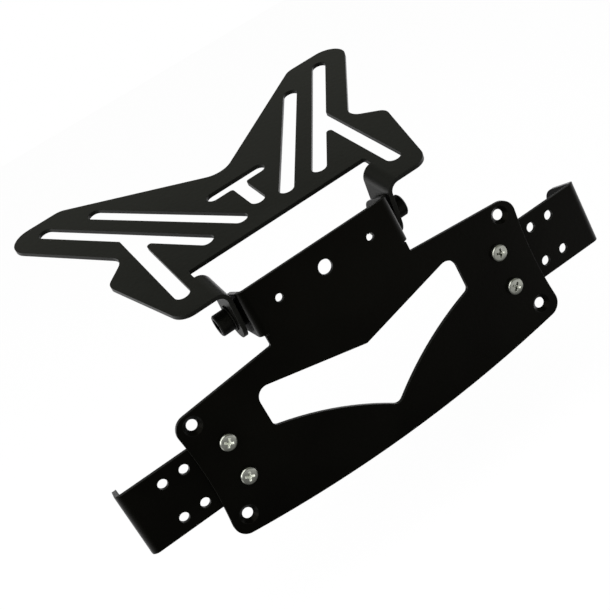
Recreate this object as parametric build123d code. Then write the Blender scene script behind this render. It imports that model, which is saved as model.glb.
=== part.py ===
from build123d import *
import math
import os

# Licence plate holder for a motorcycle: a bracket that bolts under the tail, and a plate carrier that
# hangs from it and tilts. Millimetres, +Z up along the plate, +Y towards the front of the motorcycle.
# The origin is on the bracket's upper face, on the centre line.

# Sheet
sheet = 2.0
bend_inner = 1.5
bend_outer = bend_inner + sheet

# Mounting bracket, seen from above
slot_angle = 58.1
slot_width = 7.2
slot_row = 5.5
long_slot_x = 12.3
long_slot_run = 84.6
branch_slot_x = 30.0
branch_slot_run = 95.8
branch_x = 54.0
branch_end_y = -18.7
tee_bar_y = 32.6
tee_bar_reach = 12.0
tee_stem_end_y = 11.1
crotch_radius = 1.5
near_edge_y = -33.4
cut_edge_y = -7.5
valley_y = 45.7
wing_y = 99.3
wing_inner_x = 68.5
waist_x = 61.6
waist_y = 29.4
hip_x = 74.8
hip_y = 16.2
leg_x = 61.7
valley_radius = 11.0
wing_radius = 10.5
shoulder_radius = 8.0
waist_radius = 8.0
hip_radius = 6.0
leg_radius = 8.0
cut_radius = 1.0

# Pivot of the plate carrier: the bracket's ears stand outside the plate's ears, a washer between them
carrier_tilt = 18.6
pivot_drop = 20.2
plate_setback = 16.5
pivot_hole = 6.4
ear_washer = 1.6
bracket_ear_radius = 9.8
bracket_bend_inner = 4.0
plate_ear_radius = 9.2
plate_ear_x = 38.0
pivot_y = near_edge_y + bracket_ear_radius
bracket_ear_x = plate_ear_x + ear_washer

# Main plate, seen from the front: heights are measured from the line of the neck's holes, drops below it
neck_half_width = 36.0
neck_height = 10.8
neck_relief = 0.5
pivot_below_holes = 1.0
neck_centre_hole = 6.6
neck_side_hole = 3.6
neck_side_hole_x = 23.1
shoulder_drop = 15.2
shoulder_fillet = 1.0
plate_corner_drop = 19.8
corner_hole_x = 80.0
corner_hole_drop = 24.6
corner_hole_pitch = 46.4
corner_hole = 4.8
corner_sink = 8.4
upper_lobe_x = 88.4
lower_lobe_x = 89.0
plate_waist_x = 86.3
plate_bottom_drop = 84.6
plate_bottom_side_drop = 78.0
lobe_radius = 6.5

# Window in the main plate
window_half_width = 51.8
window_corner_drop = 26.7
window_corner_radius = 5.0
window_peak_drop = 38.4
window_side_drop = 45.1
window_side_radius = 2.5
window_curve_x = 27.4
window_curve_drop = 54.1
window_low_drop = 70.8
window_low_radius = 3.5

# Indicator arms
arm_width = 30.0
arm_half_span = 121.0
arm_inner_x = 64.0
arm_corner = 2.0
screw_x = 71.6
screw_pitch = 10.25
screw_columns = 4
screw_rows = 17.5
arm_drop = 47.5
screw_hole = 4.5
flange_radius = 11.0
flange_depth = 14.2
indicator_hole = 8.5

# Fasteners
m4_shank = 4.0
m4_length = 10.0
m4_head = 7.6
m4_head_height = 2.9
m4_head_side = 1.0
m4_recess = 4.4
m4_recess_width = 0.9
m4_recess_depth = 1.7
m4_turns = {"left_upper": -33, "left_lower": -22, "right_upper": -18, "right_lower": -42}
m4_washer = 9.0
m4_washer_hole = 4.3
m4_washer_thickness = 0.8
m4_nut = 7.0
m4_nut_height = 3.2
m6_shank = 6.0
m6_length = 16.0
m6_head = 10.0
m6_head_height = 6.0
m6_socket = 5.0
m6_socket_depth = 3.0
m6_washer = 12.0
m6_washer_thickness = 0.8
m6_nut = 10.0
m6_nut_height = 5.0
washer_edge = 0.2


# A slot from one end centre to the other.
def slot(x1, y1, x2, y2):
    run = math.hypot(x2 - x1, y2 - y1)
    turn = math.degrees(math.atan2(y2 - y1, x2 - x1))
    return Pos((x1 + x2) / 2, (y1 + y2) / 2) * Rot(0, 0, turn) * SlotCenterToCenter(run, slot_width)


# Rounds the corner of a flat outline that lies nearest to a place, on both sides of the centre line.
def rounded(face, x, y, radius):
    for side in {x, -x}:
        face = fillet(face.vertices().sort_by_distance((side, y, 0))[0], radius)
    return face


# A hole or a round boss along X, its middle at the place given.
def along_x(x, y, z, diameter, length):
    return Pos(x, y, z) * Rot(0, 90, 0) * Cylinder(diameter / 2, length)


# A tab bent down from a straight edge of the sheet whose face is at z = 0. The bend starts at edge_x
# and runs towards way (+1 is +X); shape is the tab seen from the side, drawn over (y, z).
def bent_tab(edge_x, way, inner, shape):
    outer = inner + sheet
    reach = 60.0
    ring = Circle(outer) - Circle(inner)
    quarter = ring & (Pos(way * outer / 2, outer / 2) * Rectangle(outer, outer))
    wall = Pos(way * (inner + sheet / 2), -reach / 2) * Rectangle(sheet, reach)
    profile = Plane.XZ * (Pos(edge_x, -outer) * (quarter + wall))
    strip = extrude(profile, amount=reach, both=True)
    side = extrude(Plane.YZ * shape, amount=3 * reach, both=True)
    return strip & side


def mirrored(shape):
    return mirror(shape, about=Plane.YZ)


# Mounting bracket: one sheet with two wings, two legs and an ear bent down from each leg
wing_outer_x = waist_x + (wing_y - waist_y) / math.tan(math.radians(slot_angle))
leg_inner_x = bracket_ear_x + bracket_bend_inner + sheet
half = [
    (wing_inner_x, wing_y, shoulder_radius),
    (wing_outer_x, wing_y, wing_radius),
    (waist_x, waist_y, waist_radius),
    (hip_x, hip_y, hip_radius),
    (leg_x, near_edge_y, leg_radius),
    (leg_inner_x, near_edge_y, 0),
    (leg_inner_x, cut_edge_y, cut_radius),
]
whole = [(0, valley_y, valley_radius)] + half + [(-x, y, r) for x, y, r in reversed(half)]
outline = FilletPolyline([(x, y) for x, y, r in whole], radius=[r for x, y, r in whole], close=True)
bracket_face = make_face(outline)

run_x = math.cos(math.radians(slot_angle))
run_y = math.sin(math.radians(slot_angle))
long_slot = slot(
    long_slot_x,
    slot_row,
    long_slot_x + long_slot_run * run_x,
    slot_row + long_slot_run * run_y,
)
main_branch = slot(
    branch_slot_x,
    slot_row,
    branch_slot_x + branch_slot_run * run_x,
    slot_row + branch_slot_run * run_y,
)
crotch_y = slot_row + (branch_x - branch_slot_x) * run_y / run_x
branch = main_branch + slot(branch_x, branch_end_y, branch_x, crotch_y)
crotch_x = branch_x - slot_width / 2
crotch_edge_y = slot_row + (crotch_x - branch_slot_x) * run_y / run_x - slot_width / 2 / run_x
branch = fillet(branch.vertices().sort_by_distance((crotch_x, crotch_edge_y, 0))[0], crotch_radius)
tee = slot(-tee_bar_reach, tee_bar_y, tee_bar_reach, tee_bar_y)
tee += slot(0, tee_stem_end_y, 0, tee_bar_y)
tee = rounded(tee, slot_width / 2, tee_bar_y - slot_width / 2, crotch_radius)
bracket_face -= long_slot + mirrored(long_slot) + branch + mirrored(branch) + tee
bracket = extrude(bracket_face, amount=-sheet)

ear_side = Pos(pivot_y, -pivot_drop / 2) * Rectangle(2 * bracket_ear_radius, pivot_drop)
ear_side += Pos(pivot_y, -pivot_drop) * Circle(bracket_ear_radius)
ear = bent_tab(leg_inner_x, -1, bracket_bend_inner, ear_side)
bracket = bracket + ear + mirrored(ear)
bracket -= along_x(0, pivot_y, -pivot_drop, pivot_hole, 4 * bracket_ear_x)

# Main plate, drawn flat with its front face at z = 0 and the neck's holes on y = 0
bend_start_x = plate_ear_x - bend_outer
ear_low = -pivot_below_holes - plate_ear_radius
plate_half = [
    (0, neck_height),
    (bend_start_x, neck_height),
    (bend_start_x, ear_low - neck_relief),
    (neck_half_width, ear_low - neck_relief),
    (neck_half_width, -shoulder_drop),
    (upper_lobe_x, -plate_corner_drop),
]
plate_waist_drop = corner_hole_drop + corner_hole_pitch / 2
lobe_low = -plate_bottom_side_drop
edge = Polyline(plate_half)
side_edge = ThreePointArc(
    (upper_lobe_x, -plate_corner_drop),
    (plate_waist_x, -plate_waist_drop),
    (lower_lobe_x, lobe_low),
)
bottom_edge = ThreePointArc(
    (lower_lobe_x, lobe_low),
    (0, -plate_bottom_drop),
    (-lower_lobe_x, lobe_low),
)
plate_face = make_face([edge, mirrored(edge), side_edge, mirrored(side_edge), bottom_edge])
plate_face = rounded(plate_face, neck_half_width, -shoulder_drop, shoulder_fillet)
plate_face = rounded(plate_face, upper_lobe_x, -plate_corner_drop, lobe_radius)
plate_face = rounded(plate_face, lower_lobe_x, lobe_low, lobe_radius)

window_top = Polyline(
    (0, -window_peak_drop),
    (window_half_width, -window_corner_drop),
    (window_half_width, -window_side_drop),
)
window_low = ThreePointArc(
    (window_half_width, -window_side_drop),
    (window_curve_x, -window_curve_drop),
    (0, -window_low_drop),
)
window = make_face([window_top, mirrored(window_top), window_low, mirrored(window_low)])
window = rounded(window, window_half_width, -window_corner_drop, window_corner_radius)
window = rounded(window, window_half_width, -window_side_drop, window_side_radius)
window = fillet(window.vertices().sort_by_distance((0, -window_low_drop, 0))[0], window_low_radius)
plate_face -= window
plate_face -= Circle(neck_centre_hole / 2)
for side in (-1, 1):
    plate_face -= Pos(side * neck_side_hole_x, 0) * Circle(neck_side_hole / 2)
    for row in (-0.5, 0.5):
        plate_face -= Pos(side * screw_x, row * screw_rows - arm_drop) * Circle(screw_hole / 2)
plate = extrude(plate_face, amount=-sheet)

sink_depth = (corner_sink - corner_hole) / 2
for side in (-1, 1):
    for drop in (corner_hole_drop, corner_hole_drop + corner_hole_pitch):
        spot = Pos(side * corner_hole_x, -drop)
        plate -= spot * Cylinder(corner_hole / 2, 3 * sheet)
        plate -= spot * Pos(0, 0, -sink_depth / 2) * Cone(corner_hole / 2, corner_sink / 2, sink_depth)

# Behind the bend the ear's top edge falls from the neck's height to the round end, along a tangent of it
rise = neck_height + pivot_below_holes
run = plate_setback - bend_outer
slope = math.atan2(rise, run) - math.asin(plate_ear_radius / math.hypot(rise, run))
touch_up = plate_ear_radius * math.cos(slope) - pivot_below_holes
touch_back = plate_setback + plate_ear_radius * math.sin(slope)
tab_side = Polygon(
    (neck_height, 0),
    (neck_height, -bend_outer),
    (touch_up, -touch_back),
    (ear_low, -plate_setback),
    (ear_low, 0),
    align=None,
)
tab_side += Pos(-pivot_below_holes, -plate_setback) * Circle(plate_ear_radius)
tab = bent_tab(bend_start_x, 1, bend_inner, tab_side)
plate = plate + tab + mirrored(tab)
plate -= along_x(0, -pivot_below_holes, -plate_setback, pivot_hole, 3 * plate_ear_x)

# Indicator arm on the right, lying against the back of the main plate; the left one is its mirror image
flange_x = arm_half_span - bend_outer
strap = RectangleRounded(2 * (flange_x - arm_inner_x), arm_width, arm_corner)
strap &= Pos(-(flange_x - arm_inner_x) / 2, 0) * Rectangle(flange_x - arm_inner_x, arm_width)
strap = Pos(flange_x, 0) * strap
for column in range(screw_columns):
    for row in (-0.5, 0.5):
        strap -= Pos(screw_x + column * screw_pitch, row * screw_rows) * Circle(screw_hole / 2)
arm = extrude(strap, amount=-sheet)

# The flange narrows from the strap's back face to its round end along two tangents
fall = flange_depth + sheet
reach = math.hypot(flange_depth, arm_width / 2)
spread = math.atan2(arm_width / 2, flange_depth) + math.acos(flange_radius / reach)
touch_y = flange_radius * math.sin(spread)
touch_z = flange_radius * math.cos(spread) - fall
wedge = Polygon(
    (arm_width / 2, 0),
    (arm_width / 2, -sheet),
    (touch_y, touch_z),
    (-touch_y, touch_z),
    (-arm_width / 2, -sheet),
    (-arm_width / 2, 0),
    align=None,
)
flange_side = wedge + Pos(0, -fall) * Circle(flange_radius)
arm += bent_tab(flange_x, 1, bend_inner, flange_side)
arm -= along_x(arm_half_span, 0, -fall, indicator_hole, 6 * sheet)
arm = Pos(0, -arm_drop, -sheet) * arm


# Round and hexagonal fasteners, made along +Z with the clamped face at z = 0
def washer(outside, hole, thickness):
    ring = Pos(0, 0, thickness / 2) * (Cylinder(outside / 2, thickness) - Cylinder(hole / 2, thickness))
    rims = ring.edges().filter_by(GeomType.CIRCLE).group_by(SortBy.RADIUS)[-1]
    return chamfer(rims, washer_edge)


def nut(across, height, hole):
    blank = extrude(RegularPolygon(across / 2, 6, major_radius=False), amount=height)
    corner = across / math.sqrt(3)
    lift = (corner - across / 2) * math.tan(math.radians(30))
    dome = make_face(
        Polyline(
            (0, 0),
            (across / 2, 0),
            (corner, lift),
            (corner, height - lift),
            (across / 2, height),
            (0, height),
            close=True,
        )
    )
    blank &= revolve(Plane.XZ * dome, Axis.Z)
    return blank - Pos(0, 0, height / 2) * Cylinder(hole / 2, height)


def shank(diameter, length):
    tip = 0.12 * diameter
    body = Pos(0, 0, -length / 2) * Cylinder(diameter / 2, length)
    return chamfer(body.edges().sort_by(Axis.Z)[0], tip)


def cap_screw():
    head = Pos(0, 0, m6_head_height / 2) * Cylinder(m6_head / 2, m6_head_height)
    head = chamfer(head.edges().group_by(Axis.Z)[-1], 0.5)
    hexagon = RegularPolygon(m6_socket / 2, 6, major_radius=False)
    head -= Pos(0, 0, m6_head_height - m6_socket_depth) * extrude(hexagon, amount=m6_socket_depth)
    return head + shank(m6_shank, m6_length)


def pan_screw():
    crown = (m4_head_height - m4_head_side) / 2 + (m4_head / 2) ** 2 / (m4_head_height - m4_head_side) / 2
    head = Pos(0, 0, m4_head_height / 2) * Cylinder(m4_head / 2, m4_head_height)
    head &= Pos(0, 0, m4_head_height - crown) * Sphere(crown)
    blade = Box(m4_recess, m4_recess_width, m4_recess_depth)
    for turn in (0, 90):
        head -= Pos(0, 0, m4_head_height - m4_recess_depth / 2) * Rot(0, 0, turn) * blade
    return head + shank(m4_shank, m4_length)


# Into the shared frame: the bracket rises towards the front, the plate stands upright
pieces = {}
tilt = math.radians(carrier_tilt)
pieces["mounting_bracket"] = Rot(carrier_tilt, 0, 0) * bracket
pivot_row_y = pivot_y * math.cos(tilt) + pivot_drop * math.sin(tilt)
pivot_row_z = pivot_y * math.sin(tilt) - pivot_drop * math.cos(tilt)
holes_row_z = pivot_row_z + pivot_below_holes
carrier = Pos(0, pivot_row_y - plate_setback, holes_row_z) * Rot(90, 0, 0)
pieces["main_plate"] = carrier * plate
pieces["right_arm"] = carrier * arm
pieces["left_arm"] = carrier * mirrored(arm)

# Clamp at each ear: bolt from outside, a washer against each face, the nut inside
for name, way in (("left", -1), ("right", 1)):
    outside = bracket_ear_x + sheet
    inside = plate_ear_x - sheet
    pivot = Pos(0, pivot_row_y, pivot_row_z) * Rot(0, 90 * way, 0)
    ring = washer(m6_washer, pivot_hole, m6_washer_thickness)
    spacer = washer(m6_washer, pivot_hole, ear_washer)
    pieces[name + "_pivot_bolt"] = pivot * Pos(0, 0, outside + m6_washer_thickness) * cap_screw()
    pieces[name + "_head_washer"] = pivot * Pos(0, 0, outside) * ring
    pieces[name + "_friction_washer"] = pivot * Pos(0, 0, plate_ear_x) * spacer
    pieces[name + "_nut_washer"] = pivot * Pos(0, 0, inside - m6_washer_thickness) * ring
    nut_face = inside - m6_washer_thickness - m6_nut_height
    pieces[name + "_pivot_nut"] = pivot * Pos(0, 0, nut_face) * nut(m6_nut, m6_nut_height, m6_shank)
    for level, row in (("upper", 0.5), ("lower", -0.5)):
        spot = carrier * Pos(way * screw_x, row * screw_rows - arm_drop, 0)
        tag = name + "_" + level + "_arm_"
        pieces[tag + "screw"] = spot * Rot(0, 0, m4_turns[name + "_" + level]) * pan_screw()
        back = spot * Pos(0, 0, -2 * sheet - m4_washer_thickness)
        pieces[tag + "washer"] = back * washer(m4_washer, m4_washer_hole, m4_washer_thickness)
        pieces[tag + "nut"] = back * Pos(0, 0, -m4_nut_height) * nut(m4_nut, m4_nut_height, m4_shank)

os.makedirs("parts", exist_ok=True)
for name, piece in pieces.items():
    export_step(piece, "parts/" + name + ".step")
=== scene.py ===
import math

import bmesh
import bpy
from mathutils import Matrix, Vector


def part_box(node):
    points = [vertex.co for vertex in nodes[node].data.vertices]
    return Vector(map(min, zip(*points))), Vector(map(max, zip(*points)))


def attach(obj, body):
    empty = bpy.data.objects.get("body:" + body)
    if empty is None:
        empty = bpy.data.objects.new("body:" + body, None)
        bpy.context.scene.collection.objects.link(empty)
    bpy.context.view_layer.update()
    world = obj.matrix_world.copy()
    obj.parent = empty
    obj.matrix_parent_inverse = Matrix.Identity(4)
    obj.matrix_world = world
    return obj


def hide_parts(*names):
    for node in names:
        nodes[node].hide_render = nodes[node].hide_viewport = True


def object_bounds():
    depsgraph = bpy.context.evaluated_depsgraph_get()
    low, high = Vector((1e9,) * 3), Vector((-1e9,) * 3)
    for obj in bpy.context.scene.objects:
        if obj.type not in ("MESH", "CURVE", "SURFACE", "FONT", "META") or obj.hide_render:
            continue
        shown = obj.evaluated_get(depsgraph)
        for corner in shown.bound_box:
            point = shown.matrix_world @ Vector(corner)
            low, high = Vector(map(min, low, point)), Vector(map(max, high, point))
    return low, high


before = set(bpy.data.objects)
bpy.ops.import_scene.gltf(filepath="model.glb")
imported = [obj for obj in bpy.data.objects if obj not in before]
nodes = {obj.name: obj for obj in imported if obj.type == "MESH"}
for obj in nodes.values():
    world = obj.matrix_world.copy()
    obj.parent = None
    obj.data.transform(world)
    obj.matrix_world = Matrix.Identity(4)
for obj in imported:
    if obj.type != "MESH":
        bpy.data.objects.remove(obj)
cad_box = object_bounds()

# Mounting bracket
# One laser-cut steel sheet, 2 mm thick, with two wings and two folded ears, bolted under the tail.
# It is powder coated in satin black: a thin skin with a fine grain that thins out along the cut edges, which
# are lighter, partly for that wear and partly as a painted sheen.


def set_inputs(tree, node, inputs):
    """Sets a node's inputs by name, or links them where the output of another node is given."""
    for name, value in inputs.items():
        if isinstance(value, bpy.types.NodeSocket):
            tree.links.new(value, node.inputs[name])
        else:
            node.inputs[name].default_value = value


def add_node(tree, kind, inputs, **settings):
    """A shader node with its settings, and with its inputs set or linked."""
    node = tree.nodes.new("ShaderNode" + kind)
    for name, value in settings.items():
        setattr(node, name, value)
    set_inputs(tree, node, inputs)
    return node


def new_finish(name):
    """A material, its nodes, its shader, and the place on the piece that its patterns read."""
    material = bpy.data.materials.new(name)
    material.use_nodes = True
    tree = material.node_tree
    place = add_node(tree, "TexCoord", {}).outputs["Object"]
    return material, tree, tree.nodes["Principled BSDF"], place


def noise(tree, place, scale, detail):
    """A soft random pattern from 0 to 1, with about scale patches to the metre."""
    return add_node(tree, "TexNoise", {"Vector": place, "Scale": scale, "Detail": detail}).outputs["Fac"]


def span(tree, value, start, end, low, high):
    """The value's run from start to end, stretched to run from low to high."""
    limits = {"From Min": start, "From Max": end, "To Min": low, "To Max": high}
    return add_node(tree, "MapRange", {"Value": value, **limits}).outputs["Result"]


def bump(tree, height, normal, strength, distance):
    """The normal, leaned by the slopes of the height."""
    relief = {"Height": height, "Normal": normal, "Strength": strength, "Distance": distance}
    return add_node(tree, "Bump", relief).outputs["Normal"]


def colour_ramp(tree, value, *stops):
    """Colours at rising positions, each stop a position and its colour."""
    ramp = add_node(tree, "ValToRGB", {"Fac": value})
    elements = ramp.color_ramp.elements
    elements[0].position = stops[0][0]
    elements[1].position = stops[-1][0]
    for position, _ in stops[1:-1]:
        elements.new(position)
    for element, (_, colour) in zip(elements, stops):
        element.color = (*colour, 1.0)
    return ramp.outputs["Color"]


def edges(tree, radius, flat, folded, cover):
    """The normal rounded off near the edges, and 0 on flat faces to cover on the edges themselves."""
    rounded = add_node(tree, "Bevel", {"Radius": radius}, samples=6).outputs["Normal"]
    face = add_node(tree, "NewGeometry", {}).outputs["Normal"]
    lean = add_node(tree, "VectorMath", {0: face, 1: rounded}, operation="DOT_PRODUCT").outputs["Value"]
    return rounded, span(tree, lean, flat, folded, 0.0, cover)


def shaded(tree, clouds, shades, colour, edge, edge_wear_and_sheen_colour):
    """The colour times the shade at each position of the clouds, and another colour on the edges."""
    stops = [(position, [shade * part for part in colour]) for position, shade in shades]
    tint = colour_ramp(tree, clouds, *stops)
    mixed = {"Factor": edge, "A": tint, "B": (*edge_wear_and_sheen_colour, 1.0)}
    return add_node(tree, "Mix", mixed, data_type="RGBA").outputs["Result"]


def powder_coat(name, colour, edge_wear_and_sheen_colour, gloss_tint, grain_turn, roughness):
    """Satin powder coat: near black, a fine grain on softer waves, cloudy gloss, and lighter on cut edges,
    where it is thinner and where a sheen is painted.
    """
    material, tree, skin, place = new_finish(name)
    turn = {"Vector": place, "Rotation": (grain_turn, 0.0, 0.35)}
    place = add_node(tree, "Mapping", turn).outputs["Vector"]
    clouds = noise(tree, place, scale=26.0, detail=4.0)
    waves = noise(tree, place, scale=420.0, detail=2.0)
    grain = noise(tree, place, scale=2600.0, detail=3.0)
    rounded, edge = edges(tree, radius=0.00045, flat=0.99, folded=0.72, cover=1.0)
    waved = bump(tree, waves, rounded, strength=0.24, distance=0.0002)
    set_inputs(tree, skin, {
        "Base Color": shaded(tree, clouds, ((0.35, 0.8), (0.68, 1.5)), colour, edge, edge_wear_and_sheen_colour),
        "Specular Tint": (*gloss_tint, 1.0),
        "Roughness": span(tree, clouds, 0.3, 0.7, roughness - 0.05, roughness + 0.07),
        "Normal": bump(tree, grain, waved, strength=0.3, distance=0.00006),
    })
    return material


def finish_nodes(material, *names):
    """Gives nodes of the CAD frame their material."""
    for name in names:
        mesh = nodes[name].data
        mesh.materials.clear()
        mesh.materials.append(material)


# The same coat as the plate, in a lighter colour: painted light from above on the bracket's top.
bracket_coat = powder_coat(
    "bracket_coat",
    colour=(0.0055, 0.0056, 0.0048),
    edge_wear_and_sheen_colour=(0.02, 0.02, 0.018),
    gloss_tint=(0.06, 0.06, 0.05),
    grain_turn=0.3,
    roughness=0.34,
)
finish_nodes(bracket_coat, "mounting_bracket")

# Main plate
# The carrier's one sheet: a neck with two ears folded back, a V window, and countersunk corner holes.
# Laser cut, folded and powder coated like the bracket, in the plain colour; the bracket's lighter colour is
# painted light from above.
plain_coat = {
    "colour": (0.0009, 0.0009, 0.0006),
    "edge_wear_and_sheen_colour": (0.012, 0.012, 0.0105),
    "gloss_tint": (0.06, 0.055, 0.045),
    "roughness": 0.29,
}
finish_nodes(powder_coat("plate_coat", grain_turn=1.1, **plain_coat), "main_plate")

# Indicator arms
# Two folded straps behind the main plate, each with two rows of holes that set how far it reaches.
# Same sheet and same coat as the main plate, with the grain turned another way.
finish_nodes(powder_coat("arm_coat", grain_turn=2.0, **plain_coat), "left_arm", "right_arm")

# Pivot bolts
# Socket head cap screws, M6 x 16, in black oxide: turned, a hexagon pressed in the head, a rolled thread.
# One goes in from outside at each ear, and its clamp and the friction washer hold the plate at its angle.


def plated_steel(name, colour, roughness, plating, metallic=0.0, gloss_tint=(1.0, 1.0, 1.0)):
    """Small steel parts: patches in the plating, fine marks of the tool, and another shade on the corners."""
    material, tree, skin, place = new_finish(name)
    patches = noise(tree, place, plating["patch_scale"], detail=5.0)
    marks = noise(tree, place, plating["mark_scale"], detail=2.0)
    cover = plating["corner_cover"]
    rounded, corner = edges(tree, plating["corner_radius"], flat=0.985, folded=0.75, cover=cover)
    corner_colour = [plating["corner_shade"] * part for part in colour]
    smoother, rougher = plating["roughness_drift"]
    set_inputs(tree, skin, {
        "Base Color": shaded(tree, patches, plating["shades"], colour, corner, corner_colour),
        "Metallic": metallic,
        "Specular Tint": (*gloss_tint, 1.0),
        "Roughness": span(tree, patches, 0.3, 0.7, roughness + smoother, roughness + rougher),
        "Normal": bump(tree, marks, rounded, plating["mark_strength"], plating["mark_depth"]),
    })
    return material


ring_edges = 48
origin = (0.0, 0.0, 0.0)


def ring(bm, radius, height, sides=ring_edges):
    """A loop round Z, always of as many edges: a circle, or a hexagon with its corners at that radius."""
    level = Matrix.Translation((0.0, 0.0, height))
    made = bmesh.ops.create_circle(bm, segments=sides, radius=radius, matrix=level)
    loop = list({edge for vert in made["verts"] for edge in vert.link_edges})
    if sides < ring_edges:
        parts = bmesh.ops.subdivide_edges(bm, edges=loop, cuts=ring_edges // sides - 1)
        split = parts["geom_inner"] + parts["geom"]
        loop = list({item for item in split if isinstance(item, bmesh.types.BMEdge)})
    return loop


def thread_ridge(bm, root, crest, pitch, top, length):
    """A rolled thread's ridge: a V section carried down a helix from top, which runs out at its lower end."""
    section = [(root, 0.05 * pitch), (crest, 0.5 * pitch), (root, 0.95 * pitch)]
    others = set(bm.verts)
    verts = [bm.verts.new((radius, 0.0, top - drop)) for radius, drop in section]
    sides = [bm.edges.new(pair) for pair in zip(verts, verts[1:] + verts[:1])]
    steps_round = 24
    steps = steps_round * round(length / pitch)
    bmesh.ops.spin(
        bm,
        geom=verts + sides,
        cent=origin,
        axis=(0.0, 0.0, 1.0),
        dvec=(0.0, 0.0, -length / steps),
        angle=math.tau * steps / steps_round,
        steps=steps,
    )
    middle = (root + crest) / 2
    peaks = [vert for vert in bm.verts if vert not in others and vert.co.xy.length > middle]
    end = min(vert.co.z for vert in peaks)
    run_out = 0.4 * pitch
    for vert in peaks:
        rise = min(1.0, (vert.co.z - end) / run_out)
        vert.co.xy *= (root + rise * (crest - root)) / crest
    bmesh.ops.holes_fill(bm, edges=[edge for edge in bm.edges if edge.is_boundary], sides=0)


def smooth_piece(bm, name, place):
    """The finished mesh at its place: edges sharper than 35 degrees stay sharp, the rest is shaded smooth."""
    bmesh.ops.transform(bm, matrix=place, verts=bm.verts)
    bmesh.ops.recalc_face_normals(bm, faces=bm.faces)
    mesh = bpy.data.meshes.new(name)
    bm.to_mesh(mesh)
    bm.free()
    mesh.polygons.foreach_set("use_smooth", [True] * len(mesh.polygons))
    mesh.set_sharp_from_angle(angle=math.radians(35.0))
    piece = bpy.data.objects.new(name, mesh)
    bpy.context.scene.collection.objects.link(piece)
    return piece


black_plating = {
    "patch_scale": 520.0,
    "mark_scale": 3600.0,
    "mark_strength": 0.12,
    "mark_depth": 0.00003,
    "corner_radius": 0.0002,
    "corner_cover": 0.6,
    "corner_shade": 5.0,
    "shades": ((0.3, 0.7), (0.7, 1.4)),
    "roughness_drift": (-0.06, 0.08),
}
black_gloss = (0.12, 0.12, 0.1)
oxide_colour = (0.0022, 0.0022, 0.0018)
black_oxide = plated_steel("black_oxide", oxide_colour, 0.38, black_plating, gloss_tint=black_gloss)

# The bolt's sizes, and its rings from the socket's drilled floor to the tip, with the head's underside at 0
cap_height = 0.006
cap_radius = 0.005
cap_round = 0.0005
cap_foot = 0.0002
socket_corner = 0.0025 / math.cos(math.radians(30.0))
socket_floor = cap_height - 0.003
socket_lead = 0.0003
socket_mouth = 0.00315
drill_radius = 0.0011
drill_tip = 0.0006
bolt_root = 0.00245
bolt_crest = 0.003
bolt_pitch = 0.001
bolt_length = 0.016
bolt_tip = 0.0005
bolt_neck = 0.001
bolt_neck_end = 0.0014
bolt_thread_top = -0.0009
bolt_thread = 0.0136
thread_sink = 0.00002
bolt_rings = [
    (drill_radius, socket_floor - drill_tip),
    (socket_corner, socket_floor, 6),
    (socket_corner, cap_height - socket_lead, 6),
    (socket_mouth, cap_height),
    (cap_radius - cap_round, cap_height),
    (cap_radius, cap_height - cap_round),
    (cap_radius, cap_foot),
    (cap_radius - cap_foot, 0.0),
    (bolt_crest, 0.0),
    (bolt_crest, -bolt_neck),
    (bolt_root, -bolt_neck_end),
    (bolt_root, bolt_tip - bolt_length),
    (bolt_root - bolt_tip, -bolt_length),
]
for side, way in (("left", -1), ("right", 1)):
    bm = bmesh.new()
    loops = [ring(bm, *size) for size in bolt_rings]
    for upper, lower in zip(loops, loops[1:]):
        bmesh.ops.bridge_loops(bm, edges=upper + lower)
    bmesh.ops.contextual_create(bm, geom=loops[0])
    bmesh.ops.contextual_create(bm, geom=loops[-1])
    thread_ridge(bm, bolt_root - thread_sink, bolt_crest, bolt_pitch, bolt_thread_top, bolt_thread)
    low, high = (Vector(corner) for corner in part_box(side + "_pivot_bolt"))
    outer_end = max(abs(low.x), abs(high.x))
    seat = Vector((way * (outer_end - cap_height), (low.y + high.y) / 2, (low.z + high.z) / 2))
    place = Matrix.Translation(seat) @ Matrix.Rotation(way * math.radians(90.0), 4, "Y")
    bolt = smooth_piece(bm, side + "_socket_screw", place)
    bolt.data.materials.append(black_oxide)
    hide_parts(side + "_pivot_bolt")
    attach(bolt, "bracket")

# Pivot washers
# Turned steel rings: a thick one between the two ears, which the hinge rubs on, and one under each head.
# Both are black, the friction washer in oxide and the head washer in black zinc.
finish_nodes(black_oxide, "left_friction_washer", "right_friction_washer")
black_zinc_colour = (0.003, 0.003, 0.0026)
black_zinc = plated_steel("black_zinc", black_zinc_colour, 0.42, black_plating, gloss_tint=black_gloss)
finish_nodes(black_zinc, "left_head_washer", "right_head_washer")

# Pivot nuts and their washers
# Hexagon nuts on the inner ends of the bolts, and the washers that they turn on, cold formed.
# Both are zinc plated: cloudy grey, and brighter on the corners.
zinc_plating = {
    "patch_scale": 380.0,
    "mark_scale": 3200.0,
    "mark_strength": 0.15,
    "mark_depth": 0.00004,
    "corner_radius": 0.00018,
    "corner_cover": 0.7,
    "corner_shade": 2.1,
    "shades": ((0.3, 0.8), (0.7, 1.1)),
    "roughness_drift": (-0.05, 0.08),
}
zinc = plated_steel("zinc_plate", (0.42, 0.43, 0.38), 0.24, zinc_plating, metallic=1.0)
for side in ("left", "right"):
    finish_nodes(zinc, side + "_nut_washer", side + "_pivot_nut")

# Arm screws, washers and nuts
# Four M4 x 10 pan head screws hold the arms: cold headed with a cross recess, rolled thread, zinc plated.
# They go in from the front, each at the turn it was left at, with a washer and a nut behind the arm.
# A brighter, half-metallic zinc that paints the light in the left pair's cross recesses.
painted_lit_recess_zinc = plated_steel("painted_lit_recess_zinc", (0.8, 0.82, 0.74), 0.45, zinc_plating, metallic=0.25)

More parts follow.
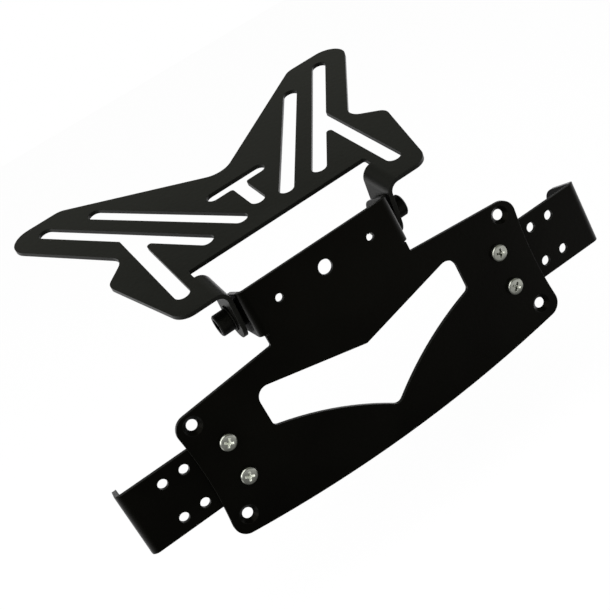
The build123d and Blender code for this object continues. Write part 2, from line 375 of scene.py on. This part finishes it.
# The screw's sizes, with the head's underside at 0, and the turn of each cross in degrees
pan_radius = 0.0037
pan_height = 0.0023
pan_crown = 0.00035
pan_side = 0.00155
pan_foot = 0.0002
shoulder_round = 0.0003
crown_radius = pan_radius - 0.0004
mid_crown_radius = 0.0017
mid_crown_drop = 0.2 * pan_crown
recess_reach = 0.0022
recess_half_width = 0.0005
recess_depth = 0.0019
recess_foot_reach = 0.18
recess_foot_width = 0.7
core_foot_radius = 0.0004
core_lip_radius = 0.0015
lit_recess_from = 0.0005
crown_skin = 0.00004
screw_root = 0.0016
screw_crest = 0.002
screw_pitch = 0.0007
screw_length = 0.01
screw_tip = 0.0004
screw_neck = 0.0004
screw_neck_end = 0.0007
screw_thread = 0.0087
cross_turns = {"left_upper": -33.0, "left_lower": -22.0, "right_upper": -18.0, "right_lower": -42.0}


def pan_blank():
    """The headed blank, turned round Z, with its foot at the origin and a rounded shoulder on the head."""
    bm = bmesh.new()
    outline = [
        (0.0, pan_height),
        (mid_crown_radius, pan_height - mid_crown_drop),
        (crown_radius, pan_height - pan_crown),
        (pan_radius, pan_side),
        (pan_radius, pan_foot),
        (pan_radius - pan_foot, 0.0),
        (screw_crest, 0.0),
        (screw_crest, -screw_neck),
        (screw_root, -screw_neck_end),
        (screw_root, screw_tip - screw_length),
        (screw_root - screw_tip, -screw_length),
        (0.0, -screw_length),
    ]
    verts = [bm.verts.new((radius, 0.0, height)) for radius, height in outline]
    line = [bm.edges.new(pair) for pair in zip(verts, verts[1:])]
    bmesh.ops.spin(
        bm,
        geom=verts + line,
        cent=origin,
        axis=(0.0, 0.0, 1.0),
        angle=math.tau,
        steps=ring_edges,
        use_merge=True,
    )
    bmesh.ops.remove_doubles(bm, verts=bm.verts, dist=0.000001)
    rim = pan_height - pan_crown
    shoulder = [edge for edge in bm.edges if all(abs(vert.co.z - rim) < 0.00001 for vert in edge.verts)]
    bmesh.ops.bevel(
        bm,
        geom=shoulder,
        offset=shoulder_round,
        affect="EDGES",
        segments=4,
        profile=0.5,
        material=-1,
    )
    return smooth_piece(bm, "pan_blank", Matrix.Identity(4))


def cross_punch(turn):
    """The cross with a round core that is pressed into the head: full size on top, tapered to its foot."""
    bm = bmesh.new()
    for quarter in (0.0, 90.0):
        wing = bmesh.ops.create_cube(bm, size=2.0)["verts"]
        bmesh.ops.scale(bm, vec=(recess_reach, recess_half_width, recess_depth), verts=wing)
        foot = [vert for vert in wing if vert.co.z < 0.0]
        bmesh.ops.scale(bm, vec=(recess_foot_reach, recess_foot_width, 1.0), verts=foot)
        lip = [vert for vert in wing if vert.co.z > 0.0]
        bmesh.ops.scale(bm, vec=(2.0 - recess_foot_reach, 2.0 - recess_foot_width, 1.0), verts=lip)
        crossed = Matrix.Rotation(math.radians(quarter), 3, "Z")
        bmesh.ops.rotate(bm, cent=origin, matrix=crossed, verts=wing)
    core = {"radius1": core_foot_radius, "radius2": core_lip_radius, "depth": 2 * recess_depth}
    bmesh.ops.create_cone(bm, cap_ends=True, segments=24, **core)
    bmesh.ops.rotate(bm, cent=origin, matrix=Matrix.Rotation(math.radians(turn), 3, "Z"), verts=bm.verts)
    return smooth_piece(bm, "cross_punch", Matrix.Translation((0.0, 0.0, pan_height)))


def pressed(blank, punch):
    """The blank less the punch, with the recess's walls on the second material."""
    cut = blank.modifiers.new("recess", "BOOLEAN")
    cut.object = punch
    cut.solver = "EXACT"
    cut.use_self = True
    evaluated = blank.evaluated_get(bpy.context.evaluated_depsgraph_get())
    bm = bmesh.new()
    bm.from_mesh(bpy.data.meshes.new_from_object(evaluated))
    bpy.data.objects.remove(blank)
    bpy.data.objects.remove(punch)
    for face in bm.faces:
        spot = face.calc_center_median()
        reach = spot.xy.length
        crown = pan_height - pan_crown * (reach / crown_radius) ** 2
        face.material_index = int(reach < recess_reach and lit_recess_from < spot.z < crown - crown_skin)
    return bm


for position, turn in cross_turns.items():
    bm = pressed(pan_blank(), cross_punch(turn))
    thread_ridge(bm, screw_root - thread_sink, screw_crest, screw_pitch, -screw_neck, screw_thread)
    low, high = (Vector(corner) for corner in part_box(position + "_arm_screw"))
    seat = Vector(((low.x + high.x) / 2, high.y - screw_length, (low.z + high.z) / 2))
    place = Matrix.Translation(seat) @ Matrix.Rotation(math.radians(90.0), 4, "X")
    screw = smooth_piece(bm, position + "_pan_screw", place)
    screw.data.materials.append(zinc)
    # The left pair's recesses take the brighter zinc as a painted highlight, and the right pair's keep the
    # plain zinc.
    screw.data.materials.append(painted_lit_recess_zinc if position.startswith("left") else zinc)
    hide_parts(position + "_arm_screw")
    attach(screw, "carrier")
    finish_nodes(zinc, position + "_arm_washer", position + "_arm_nut")

# Studio
# A pale floor well below the holder, a white surround that falls off above the horizon, and a large and a
# small soft lamp on the camera's side. The coat mirrors the floor with painted shade in front and under the
# holder.


def ray_share(tree, *kinds):
    """1 for rays of any of these kinds, 0 for all others."""
    path = add_node(tree, "LightPath", {})
    share = path.outputs[kinds[0]]
    for kind in kinds[1:]:
        either = {0: share, 1: path.outputs[kind]}
        share = add_node(tree, "Math", either, operation="MAXIMUM").outputs["Value"]
    return share


def mix_shaders(tree, share, first, second):
    """The first shader, and the second in its share."""
    return add_node(tree, "MixShader", {"Fac": share, 1: first, 2: second}).outputs["Shader"]


def grey(level):
    return (level, level, level)


white = (1.0, 1.0, 1.0, 1.0)
wall = grey(0.2)
ceiling = (0.33, 0.34, 0.29)
zenith = (0.16, 0.17, 0.14)
world = bpy.data.worlds.new("surround")
bpy.context.scene.world = world
world.use_nodes = True
tree = world.node_tree
tree.nodes.clear()
shown = add_node(tree, "Background", {"Color": white, "Strength": 1.0}).outputs["Background"]
fill = add_node(tree, "Background", {"Color": white, "Strength": 0.7}).outputs["Background"]
direction = add_node(tree, "TexCoord", {}).outputs["Generated"]
height = add_node(tree, "SeparateXYZ", {"Vector": direction}).outputs["Z"]
falloff = colour_ramp(
    tree,
    height,
    (0.0, grey(1.0)),
    (0.15, wall),
    (0.4, wall),
    (0.62, ceiling),
    (0.72, ceiling),
    (0.8, zenith),
)
mirrored = add_node(tree, "Background", {"Color": falloff}).outputs["Background"]
lit = mix_shaders(tree, ray_share(tree, "Is Glossy Ray"), fill, mirrored)
surround = mix_shaders(tree, ray_share(tree, "Is Camera Ray", "Is Transmission Ray"), lit, shown)
add_node(tree, "OutputWorld", {"Surface": surround})

floor_drop = 0.06
floor_reach = 3.0
bm = bmesh.new()
bmesh.ops.create_grid(bm, x_segments=1, y_segments=1, size=floor_reach)
bmesh.ops.translate(bm, vec=(0.0, 0.0, cad_box[0][2] - floor_drop), verts=bm.verts)
floor_mesh = bpy.data.meshes.new("floor")
bm.to_mesh(floor_mesh)
bm.free()
floor = bpy.data.objects.new("floor", floor_mesh)
bpy.context.scene.collection.objects.link(floor)

paper = bpy.data.materials.new("floor_paper")
paper.use_nodes = True
tree = paper.node_tree
tree.nodes.clear()
place = add_node(tree, "TexCoord", {}).outputs["Object"]
spot = add_node(tree, "SeparateXYZ", {"Vector": place})
# What the coat mirrors of the floor is painted shade: dim in front and lighter to the right,
# white behind, with a painted shadow of the holder
front_shade = span(tree, spot.outputs["X"], start=-0.1, end=0.22, low=0.2, high=0.8)
behind = span(tree, spot.outputs["Y"], start=-0.18, end=-0.1, low=0.0, high=1.0)
across = span(tree, spot.outputs["X"], start=-0.5, end=0.5, low=0.0, high=1.0)
dim = grey(0.1)
own_shade = colour_ramp(tree, across, (0.3, grey(1.0)), (0.34, dim), (0.66, dim), (0.72, grey(1.0)))
shade = add_node(tree, "Mix", {"Factor": behind, "A": front_shade, "B": own_shade}).outputs["Result"]
seen = {0: ray_share(tree, "Is Camera Ray"), 1: shade}
glow = add_node(tree, "Math", seen, operation="MAXIMUM").outputs["Value"]
bright = add_node(tree, "Emission", {"Color": glow, "Strength": 1.02}).outputs["Emission"]
matt = add_node(tree, "BsdfDiffuse", {"Color": (0.95, 0.95, 0.95, 1.0)}).outputs["BSDF"]
glowing = {0: ray_share(tree, "Is Camera Ray", "Is Glossy Ray", "Is Transmission Ray"), 1: 0.9}
glow_share = add_node(tree, "Math", glowing, operation="MULTIPLY").outputs["Value"]
add_node(tree, "OutputMaterial", {"Surface": mix_shaders(tree, glow_share, matt, bright)})
floor_mesh.materials.append(paper)


def softbox(name, place, width, power):
    """A square soft lamp that points at the holder and isn't seen by the camera."""
    light = bpy.data.lights.new(name, "AREA")
    light.shape = "RECTANGLE"
    light.size = width
    light.size_y = width
    light.energy = power
    lamp = bpy.data.objects.new(name, light)
    lamp.location = place
    lamp.visible_camera = False
    holder_middle = Vector((0.0, 0.0, -0.03))
    lamp.rotation_euler = (holder_middle - Vector(place)).to_track_quat("-Z", "Y").to_euler()
    bpy.context.scene.collection.objects.link(lamp)


softbox("key_softbox", place=(-0.45, -0.75, 0.8), width=0.9, power=6.0)
softbox("left_softbox", place=(-0.73, -0.38, 0.2), width=0.4, power=1.8)

# The camera's place, its axes and its lens come from the fit to the photograph
lens = bpy.data.cameras.new("photo_camera")
lens.sensor_width = 36.0
lens.lens = 61.52
lens.clip_start = 0.01
camera = bpy.data.objects.new("photo_camera", lens)
right = Vector((0.80699822, -0.36412111, -0.46494052))
up = Vector((0.54616813, 0.1607259, 0.82211165))
back = Vector((-0.22462022, -0.91737833, 0.32857686))
stand = Matrix.Translation((-0.110908, -0.422426, 0.105300))
camera.matrix_world = stand @ Matrix((right, up, back)).transposed().to_4x4()
bpy.context.scene.collection.objects.link(camera)
bpy.context.scene.camera = camera
bpy.context.scene.view_settings.view_transform = "Standard"
